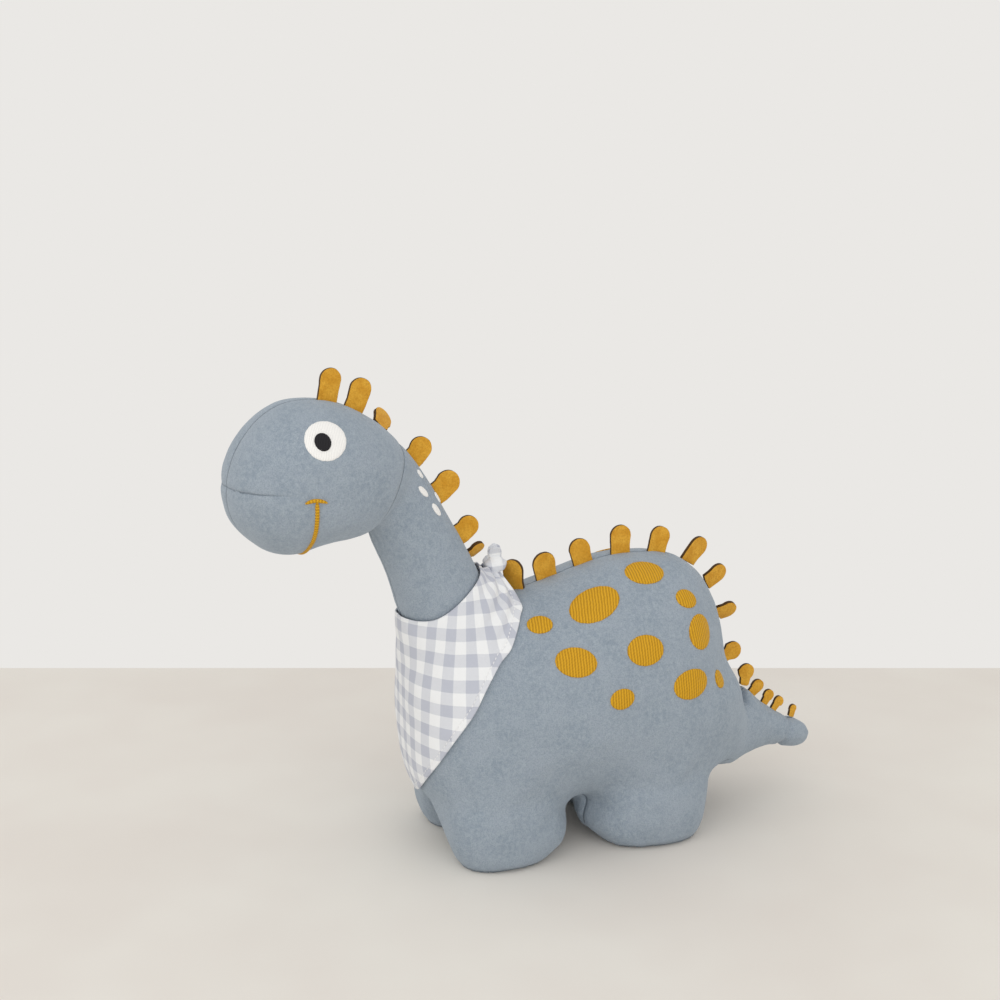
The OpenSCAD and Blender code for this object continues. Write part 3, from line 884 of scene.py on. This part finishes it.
def oval_patch(surface, points, inside, height, lift=0.0):
    """A raised oval of stitches on the skin, as points, faces and each point's place among the stitches."""
    centre, long, short, out, (half_long, half_short) = flat_frame(points)
    if (centre - inside).dot(out) < 0:
        out = -out
    upright = Vector((0, 0, 1)) - out * out.z
    upright.normalize()
    level = upright.cross(out)
    count = PATCH_SIDES
    made, stitches = [], []
    for share, rise in PATCH_RINGS + [(0.0, 1.0)]:
        for k in range(count if share else 1):
            turn = math.tau * k / count
            ragged = 1 + 0.012 * math.sin(9 * turn) * math.sin(23 * turn + 1) if share > 0.95 else 1
            offset = long * (math.cos(turn) * half_long) + short * (math.sin(turn) * half_short)
            offset *= share * ragged
            start = centre + offset + out * 15 * MM
            place, normal, _, _ = surface.ray_cast(start, -out, 40 * MM)
            if place is None:
                place, normal, _, _ = surface.find_nearest(centre + offset)
            made.append(place + normal * (lift + rise * height))
            stitches.append((offset.dot(level), offset.dot(upright), 0))
    faces = tube_faces(len(PATCH_RINGS) - 1, count)
    last = (len(PATCH_RINGS) - 1) * count
    faces += [[last + k, last + (k + 1) % count, last + count] for k in range(count)]
    if (made[1] - made[0]).cross(made[count] - made[0]).dot(out) < 0:
        faces = [face[::-1] for face in faces]
    return made, faces, stitches


def embroider(name, surface, inside, height, slot, lift=0.0, nudge=(0, 0, 0)):
    """Replaces a CAD node of ovals with patches that lie on the skin."""
    points, faces, stitches = joined(
        oval_patch(surface, group + np.array(nudge), inside, height, lift) for group in islands(name)
    )
    patch = new_object(name + "_stitched", points, faces)
    add_attribute(patch, "stitch", stitches, "FLOAT_VECTOR")
    dress(patch, slot)
    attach(patch, BODY_OF[name])
    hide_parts(name)


def ribbon(surface, path, half_width, height):
    """A raised line of satin stitch along a path on the skin, as points, faces and stitch places."""
    count = len(path)
    made, stitches = [], []
    run = 0.0
    for i, place in enumerate(path):
        ahead = path[min(i + 1, count - 1)] - path[max(i - 1, 0)]
        spot, normal, _, _ = surface.find_nearest(place)
        across = normal.cross(ahead).normalized()
        ends = min(i, count - 1 - i)
        narrow = (0.35, 0.8, 1.0)[min(ends, 2)]
        for share, rise in RIBBON_PROFILE:
            on_skin, out, _, _ = surface.find_nearest(spot + across * share * half_width * narrow)
            made.append(on_skin + out * rise * height)
            stitches.append((run, share * half_width, 0))
        if i + 1 < count:
            run += (path[i + 1] - place).length
    return made, sheet_faces(count - 1, len(RIBBON_PROFILE)), stitches


def build_mouth(surface):
    """One line of satin stitch from cheek to cheek under the chin, with a short bar across each end."""
    centre = pivot("head_turn")
    back = Matrix.Translation(centre) @ Matrix.Rotation(HEAD_TURN, 4, "Z") @ Matrix.Translation(-centre)
    straight = head_frame(points_of("mouth_stitch"))
    half = np.ptp(straight[:, 0]) / 2
    floor, top = straight[:, 2].min(), straight[:, 2].max() - 2.4 * MM
    near, far = straight[:, 1].min(), straight[:, 1].max()
    power = 2 / 1.75
    steps = 60
    line = []
    for i in range(steps + 1):
        turn = math.pi * i / steps
        across = math.copysign(abs(math.cos(turn)) ** power, math.cos(turn)) * half
        down = math.sin(turn) ** power
        line.append(back @ Vector((across, near + (6 + 2.5 * down) * MM, top - down * (top - floor))))
    parts = [ribbon(surface, line, 1.15 * MM, 0.95 * MM)]
    for side in (1, -1):
        bar = []
        for i in range(9):
            t = i / 8
            bow = 1.4 * MM * math.sin(math.pi * t)
            bar.append(back @ Vector((side * half * 0.99, near + (far - near) * t, top - 0.6 * MM + bow)))
        parts.append(ribbon(surface, bar, 1.0 * MM, 1.1 * MM))
    points, faces, stitches = joined(parts)
    mouth = new_object("mouth_satin_stitch", points, faces)
    weld(mouth)
    add_attribute(mouth, "stitch", stitches, "FLOAT_VECTOR")
    dress(mouth, "embroidery")
    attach(mouth, "head")
    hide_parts("mouth_stitch")


def build_closing_stitches(surface):
    """Short ladder stitches across the hand-sewn seam under the belly."""
    points, faces = [], []
    rings, sides = 9, 8
    radius = 0.4 * MM
    for group in islands("closing_stitches"):
        low, high = group.min(0), group.max(0)
        y = (low[1] + high[1]) / 2
        first = len(points)
        for i in range(rings):
            x = low[0] + (high[0] - low[0]) * i / (rings - 1)
            place, normal, _, _ = surface.ray_cast(Vector((x, y, 0)), Vector((0, 0, 1)), 60 * MM)
            rise = radius * (1.6 * math.sin(math.pi * i / (rings - 1)) - 0.9)
            for k in range(sides):
                turn = math.tau * k / sides
                points.append(place + Vector((0, math.cos(turn), math.sin(turn))) * radius + normal * rise)
        faces += tube_faces(rings - 1, sides, first)
    stitches = new_object("belly_closing_thread", points, faces)
    add_attribute(stitches, "stitch", coordinates(stitches), "FLOAT_VECTOR")
    dress(stitches, "white_thread")
    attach(stitches, "torso")
    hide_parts("closing_stitches")


def build_embroidery(surface):
    torso_middle = middle("torso_filling")
    head_middle = middle("head_filling")
    neck_middle = middle("neck_upper_filling")
    for side in SIDES:
        embroider("spots_" + side, surface, torso_middle, 0.9 * MM, "embroidery")
        embroider("eye_white_" + side, surface, head_middle, 0.9 * MM, "white_thread", nudge=EYE_NUDGE)
        embroider("pupil_" + side, surface, head_middle, 0.8 * MM, "black_thread", 0.85 * MM, nudge=EYE_NUDGE)
    embroider("neck_spots", surface, neck_middle, 0.8 * MM, "white_thread")
    build_mouth(surface)
    build_closing_stitches(surface)


# ---- Back plates ----

# A plate from the middle of one face, over its edge, to the middle of the other face: how far out each
# ring of points is, how high, and whether it is on the rim that is painted dark as shade.
EDGE_PROFILE = [
    (0.0, 1.0, 0), (0.45, 1.0, 0), (0.75, 1.0, 0), (0.93, 1.0, 0), (0.975, 0.97, 0), (0.992, 0.85, 1),
    (1.0, 0.55, 1), (0.993, 0.1, 1), (0.993, -0.1, 1), (1.0, -0.55, 1), (0.992, -0.85, 1),
    (0.975, -0.97, 0), (0.93, -1.0, 0), (0.75, -1.0, 0), (0.45, -1.0, 0), (0.0, -1.0, 0)
]


PLATE_SIDES = 52


def flat_outline(points):
    """The convex outline of flat points, anticlockwise."""
    ordered = sorted(set(map(tuple, np.round(points, 6))))

    def half(places):
        kept = []
        for x, y in places:
            while len(kept) > 1:
                (ax, ay), (bx, by) = kept[-2:]
                if (bx - ax) * (y - ay) - (by - ay) * (x - ax) > 0:
                    break
                kept.pop()
            kept.append((x, y))
        return kept[:-1]

    return np.array(half(ordered) + half(ordered[::-1]))


def evenly_round(outline, count):
    """A closed outline as count points with equal steps between them."""
    closed = np.vstack([outline, outline[:1]])
    length = np.concatenate([[0], np.cumsum(np.linalg.norm(np.diff(closed, axis=0), axis=1))])
    wanted = np.linspace(0, length[-1], count, endpoint=False)
    return np.stack([np.interp(wanted, length, closed[:, i]) for i in range(2)], axis=1)


def build_plate(surface, name, number):
    """Two plies of felt with the CAD plate's outline, a little bowed, on a foot that runs into the seam."""
    points = points_of(name)
    centre = points.mean(0)
    thin = np.linalg.eigh((points - centre).T @ (points - centre))[1].T[0]
    thin *= np.sign(thin[0]) or 1
    foot, _, _, _ = surface.find_nearest(Vector(centre))
    up = centre - np.array(foot)
    up -= thin * (up @ thin)
    up /= np.linalg.norm(up)
    wide = np.cross(up, thin)
    flat = np.stack([(points - centre) @ wide, (points - centre) @ up], axis=1)
    outline = evenly_round(flat_outline(flat), PLATE_SIDES)
    half_thick = np.ptp((points - centre) @ thin) / 2
    low, high = outline[:, 1].min(), outline[:, 1].max()
    height = high - low
    sunk = outline[:, 1] < low + 0.12 * height
    outline[sunk, 1] -= PLATE_FOOT
    core = np.array([outline[:, 0].mean(), low + 0.5 * height])
    lean = 1.1 * MM * noise(Vector((number * 3.1, 0.2, 0.7)))
    cup = 0.8 * MM * noise(Vector((number * 1.7, 4.2, 0.3)))
    made, cut = [], []
    for share, level, shaded_rim in EDGE_PROFILE:
        ring = core + (outline - core) * share
        for x, y in ring:
            rise = (y - low) / height
            bend = lean * rise**2 + cup * (2 * x / (high - low)) ** 2
            ripple = 0.15 * MM * noise(Vector((x * 400, y * 400, number))) if shaded_rim else 0
            made.append(centre + wide * (x + ripple) + up * (y + ripple) + thin * (level * half_thick + bend))
            cut.append(shaded_rim)
    faces = tube_faces(len(EDGE_PROFILE) - 1, len(outline))
    plate = new_object(name + "_felt", made, faces)
    # The cut attribute marks the rim rings that get the painted shade.
    add_attribute(plate, "cut", cut)
    weld(plate)
    dress(plate, "felt")
    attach(plate, BODY_OF[name])
    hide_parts(name)


# ---- Neckerchief ----

COLUMNS = 81
ROWS = 41
CLOTH_REACH = 60 * MM  # how far from the neck's middle the skin is looked for
MOST_PUSH = 2.5 * MM  # the most that the skin moves the cloth out
CLOTH_CLEAR = 1.6 * MM
CLOTH_THICK = 1.1 * MM


def neckline_points():
    """Where the cloth lies against the neck on the toy's left, from the front to the knot."""
    shares = [
        (0.50, 0.01, 0.29), (0.72, 0.05, 0.27), (0.855, 0.127, 0.27), (0.927, 0.266, 0.31),
        (0.944, 0.407, 0.42), (0.932, 0.54, 0.587), (0.875, 0.67, 0.767), (0.744, 0.794, 0.93),
        (0.57, 0.88, 1.05)
    ]
    return [in_box("bandana_collar", *share) for share in shares]


def hem_points():
    """The free edge of the cloth on the toy's left, from the point to the knot."""
    shares = [
        (0.50, 0.158, -0.674), (0.60, 0.15, -0.60), (0.72, 0.14, -0.47), (0.865, 0.21, -0.235),
        (0.95, 0.30, -0.04), (0.985, 0.49, 0.20), (0.98, 0.59, 0.36), (0.945, 0.755, 0.56),
        (0.88, 0.88, 0.65), (0.77, 1.03, 0.84), (0.66, 1.13, 0.95), (0.54, 1.0, 1.16)
    ]
    return [in_box("bandana_front", *share) for share in shares]


def taut(distances):
    """The shortest line over the top of the distances: their upper hull."""
    kept = []
    for i, d in enumerate(distances):
        while len(kept) > 1:
            (a, da), (b, db) = kept[-2:]
            if (db - da) * (i - a) > (d - da) * (b - a):
                break
            kept.pop()
        kept.append((i, d))
    xs, ys = zip(*kept)
    return np.interp(np.arange(len(distances)), xs, ys)


def against(surface, place, axis, gap):
    """The place moved in or out from the axis until it is just off the skin."""
    way = (place - axis).normalized()
    hit = surface.ray_cast(axis + way * CLOTH_REACH, -way, CLOTH_REACH)[0]
    far_off = hit is None or (hit - place).length > 8 * MM
    return place if far_off else hit + way * gap


def draped_column(surface, top, bottom, rest_gap):
    """One line of threads from the neckline to the hem, over what lies beneath it."""
    axis_y = pivot("neck_bow").y + 7 * MM
    top = against(surface, Vector(top), Vector((0, axis_y, top[2])), rest_gap)
    chord = [top.lerp(Vector(bottom), i / (ROWS - 1)) for i in range(ROWS)]
    reach, ways = [], []
    for place in chord:
        axis = Vector((0, axis_y, place.z))
        way = place - axis
        distance = way.length
        way.normalize()
        hit = surface.ray_cast(axis + way * CLOTH_REACH, -way, CLOTH_REACH)[0]
        if hit is not None:
            over_skin = (hit - axis).length + rest_gap
            distance = min(max(distance, over_skin), distance + MOST_PUSH)
        reach.append(distance)
        ways.append((axis, way))
    tight = taut(np.array(reach))
    loose = 0.55 * tight + 0.45 * np.array(reach)
    return [axis + way * distance for (axis, way), distance in zip(ways, loose)]


def cloth_grid(surface):
    """The cloth's points, in columns from the neckline to the hem, round from the right to the left."""
    neckline = evenly_spaced(curve_through(neckline_points(), 200), COLUMNS // 2 + 1)
    hem = evenly_spaced(curve_through(hem_points(), 200), COLUMNS // 2 + 1)
    half = np.array([
        [tuple(p) for p in draped_column(surface, top, bottom, CLOTH_CLEAR)]
        for top, bottom in zip(neckline, hem)
    ])
    mirrored = half[:0:-1] * np.array([-1, 1, 1])
    return np.concatenate([mirrored, half])


def relaxed(grid, rounds):
    """Evens the cloth out, and leaves its edges where they are."""
    for _ in range(rounds):
        around = (grid[:-2, 1:-1] + grid[2:, 1:-1] + grid[1:-1, :-2] + grid[1:-1, 2:]) / 4
        grid[1:-1, 1:-1] = 0.5 * grid[1:-1, 1:-1] + 0.5 * around
    return grid


def pushed_out(surface, grid, clear):
    """Moves each point of the cloth that is too near the skin away from it."""
    for column in grid:
        for i, p in enumerate(column):
            place, normal, _, distance = surface.find_nearest(Vector(p))
            depth = (Vector(p) - place).dot(normal)
            if depth < clear:
                column[i] = tuple(Vector(p) + normal * (clear - depth))
    return grid


def fold_cloth(grid):
    """Soft folds that fan out from the knot, and small puckers near the point."""
    round_neck = np.linspace(-1, 1, len(grid))[:, None]
    share, side = np.abs(round_neck), np.sign(round_neck)
    down = np.linspace(0, 1, ROWS)[None, :]
    folds = 0.9 * MM * smooth_step(0.4, 0.95, share) * np.sin(math.tau * 3 * down + 0.9 * side)
    folds *= np.maximum(np.sin(math.pi * down), 0) ** 0.5
    wander = np.array([[noise(Vector(p) * 45) for p in column] for column in grid])
    puckers = np.array([[noise(Vector(p) * 120) for p in column] for column in grid])
    lift = folds + 1.0 * MM * wander + 0.5 * MM * puckers
    normals = np.cross(np.gradient(grid, axis=0), np.gradient(grid, axis=1))
    normals /= np.maximum(np.linalg.norm(normals, axis=2, keepdims=True), 1e-9)
    outward = np.sign((normals * (grid - np.array(pivot("neck_bow")))).sum(2, keepdims=True).mean())
    inside = np.minimum(1, np.minimum(down, 1 - down) * 14)
    return grid + normals * outward * (lift * inside)[:, :, None]


def build_neckerchief(surface):
    grid = pushed_out(surface, relaxed(cloth_grid(surface), 14), 1.3 * MM)
    grid = pushed_out(surface, fold_cloth(relaxed(grid, 3)), 1.0 * MM)
    columns = len(grid)
    points = grid.reshape(-1, 3)
    cloth = new_object("neckerchief_cloth", points, sheet_faces(columns - 1, ROWS))
    axis_y = pivot("neck_bow").y + 12 * MM
    round_neck = np.arctan2(points[:, 0], -(points[:, 1] - axis_y)) * 41 * MM
    weave = np.stack([round_neck, points[:, 2], 0 * round_neck], axis=1)
    add_attribute(cloth, "weave", weave, "FLOAT_VECTOR")
    down = np.linalg.norm(np.diff(grid, axis=1), axis=2)
    to_hem = np.concatenate([np.cumsum(down[:, ::-1], axis=1)[:, ::-1], np.zeros((columns, 1))], axis=1)
    add_attribute(cloth, "hem", to_hem.ravel())
    along = np.linalg.norm(np.diff(grid[:, -1], axis=0), axis=1)
    run = np.repeat(np.concatenate([[0], np.cumsum(along)]), ROWS)
    add_attribute(cloth, "run", run)
    weld(cloth)
    thickness = cloth.modifiers.new("two layers", "SOLIDIFY")
    thickness.thickness = CLOTH_THICK
    thickness.offset = 0
    finer = cloth.modifiers.new("finer", "SUBSURF")
    finer.levels = 1
    bake_modifiers(cloth)
    dress(cloth, "gingham")
    hinge = pivot("bandana_point_lift")
    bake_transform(cloth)
    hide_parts("bandana_collar", "bandana_front", "bandana_tip")
    return cloth


def build_knot():
    """The cloth tied over itself: a soft roll across the nape, pinched in the middle."""
    centre = middle("bandana_knot") - Vector((0, 0, 1)) * MM
    rings, sides = 36, 40
    points = []
    for i in range(rings + 1):
        up = math.pi * i / rings
        for k in range(sides):
            turn = math.tau * k / sides
            folds = 1 + 0.06 * math.sin(4 * turn + 3 * math.cos(up)) + 0.04 * math.sin(7 * turn)
            pinch = 1 - 0.30 * math.exp(-((math.cos(up) / 0.22) ** 2)) * (0.6 + 0.4 * math.sin(turn))
            size = math.sin(up) ** 0.62 * folds * pinch
            slump = 1.2 * MM * math.cos(up) ** 2
            points.append((
                centre.x + 6.6 * MM * math.cos(up),
                centre.y - 0.8 * MM + 6.4 * MM * math.cos(turn) * size,
                centre.z + 5.0 * MM * math.sin(turn) * size - slump,
            ))
    knot = new_object("neckerchief_knot", points, tube_faces(rings, sides))
    return finish_small_cloth(knot, "bandana_knot")


def build_knot_ends():
    """The two short corners of the cloth that stand up out of the knot."""
    points, faces = [], []
    base = middle("bandana_knot")
    foot, top = base.z + 2.4 * MM, base.z + 8.6 * MM
    rows, columns = 12, 10
    width = columns + 1
    size = (rows + 1) * width
    for side in (1, -1):
        first = len(points)
        for layer in (1, -1):
            for r in range(rows + 1):
                t = r / rows
                half_wide = (3.6 + 0.8 * t - 1.4 * t**4) * MM
                for c in range(columns + 1):
                    s = 2 * c / columns - 1
                    wave = 0.9 * MM * math.sin(2.6 * s + 2 * side) * t
                    thick = 0.55 * MM * layer * (1 - 0.5 * abs(s) ** 6) * (1 - 0.4 * t**8)
                    x = side * (1.2 * MM + 2.2 * MM * t + thick) + wave
                    y = base.y - 0.6 * MM + s * half_wide - side * 0.8 * MM * t
                    z = foot + (top - foot) * t * (1 + 0.08 * math.cos(3 * s))
                    points.append((x, y, z))
        faces += sheet_faces(rows, width, first)
        faces += [face[::-1] for face in sheet_faces(rows, width, first + size)]
        for r in range(rows):
            for c in (0, columns):
                a = first + r * width + c
                faces.append([a, a + width, a + width + size, a + size])
        for r in (0, rows):
            for c in range(columns):
                a = first + r * width + c
                faces.append([a, a + 1, a + 1 + size, a + size])
    ends = new_object("neckerchief_knot_ends", points, faces)
    return finish_small_cloth(ends, "bandana_ends")


def finish_small_cloth(obj, name):
    """Smooths a small piece of the cloth, and gives it the same checks, with no hem."""
    weld(obj)
    finer = obj.modifiers.new("finer", "SUBSURF")
    finer.levels = 1
    bake_modifiers(obj)
    points = coordinates(obj)
    add_attribute(obj, "weave", points[:, [1, 2, 0]], "FLOAT_VECTOR")
    add_attribute(obj, "hem", np.full(len(points), NO_SEAM))
    add_attribute(obj, "run", np.zeros(len(points)))
    dress(obj, "gingham")
    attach(obj, "torso")
    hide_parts(name)
    return obj


# ---- Floor, light and camera ----

VIEW_AZIMUTH = math.radians(70)
VIEW_PITCH = math.radians(12.5)
CAMERA_AWAY = 0.8
CAMERA_HEIGHT = 0.373
CAMERA_LENS = 53.86
VIEW_CENTRE = Vector((0, -25 * MM, 0))


def view_way():
    """The level way in which the camera looks."""
    return Vector((-math.sin(VIEW_AZIMUTH), math.cos(VIEW_AZIMUTH), 0))


def build_camera():
    data = bpy.data.cameras.new("camera")
    data.lens = CAMERA_LENS
    data.sensor_width = 36
    camera = bpy.data.objects.new("camera", data)
    bpy.context.scene.collection.objects.link(camera)
    camera.location = VIEW_CENTRE - view_way() * CAMERA_AWAY + Vector((0, 0, CAMERA_HEIGHT))
    camera.rotation_euler = (math.pi / 2 - VIEW_PITCH, 0, VIEW_AZIMUTH)
    bpy.context.scene.camera = camera


def build_stage():
    """A pale floor that ends in a straight edge behind the toy, in front of a pale background."""
    away = view_way()
    across = Vector((away.y, -away.x, 0))
    back, front, wide = 0.289, 1.6, 2.2
    far_edge, near_edge = VIEW_CENTRE + away * back, VIEW_CENTRE - away * front
    corners = [
        far_edge + across * wide, far_edge - across * wide,
        near_edge - across * wide, near_edge + across * wide,
    ]
    floor = new_object("floor", corners, [[0, 1, 2, 3]])
    floor.data.materials.append(floor_material())


def add_area_light(name, place, target, size, power, tint):
    data = bpy.data.lights.new(name, "AREA")
    data.size = size
    data.energy = power
    data.color = tint
    lamp = bpy.data.objects.new(name, data)
    bpy.context.scene.collection.objects.link(lamp)
    lamp.location = place
    lamp.rotation_euler = (Vector(target) - Vector(place)).to_track_quat("-Z", "Y").to_euler()


def build_light():
    """A pale room, with soft light from in front of the toy and from the camera's side."""
    scene = bpy.context.scene
    scene.view_settings.view_transform = "Standard"
    world = bpy.data.worlds.new("soft_room")
    scene.world = world
    world.use_nodes = True
    background = world.node_tree.nodes["Background"]
    background.inputs["Color"].default_value = colour(231, 229, 226)
    background.inputs["Strength"].default_value = 1.03
    target = (0, 0, 0.1)
    add_area_light("window", (0.4, -1.5, 1.4), target, 2.2, 7, (1.0, 0.99, 0.975))
    add_area_light("fill", (1.7, -0.3, 0.5), target, 1.8, 9, (1.0, 1.0, 1.0))


build_camera()
build_stage()
build_light()

whole = whole_skin()
skin_surface = surface_of(whole)
build_skin(whole)
bpy.data.objects.remove(whole)
build_embroidery(skin_surface)
for number, plate_name in enumerate(PLATE_NODES):
    build_plate(skin_surface, plate_name, number)
kerchief = build_neckerchief(skin_surface)
knot = build_knot()
knot_ends = build_knot_ends()
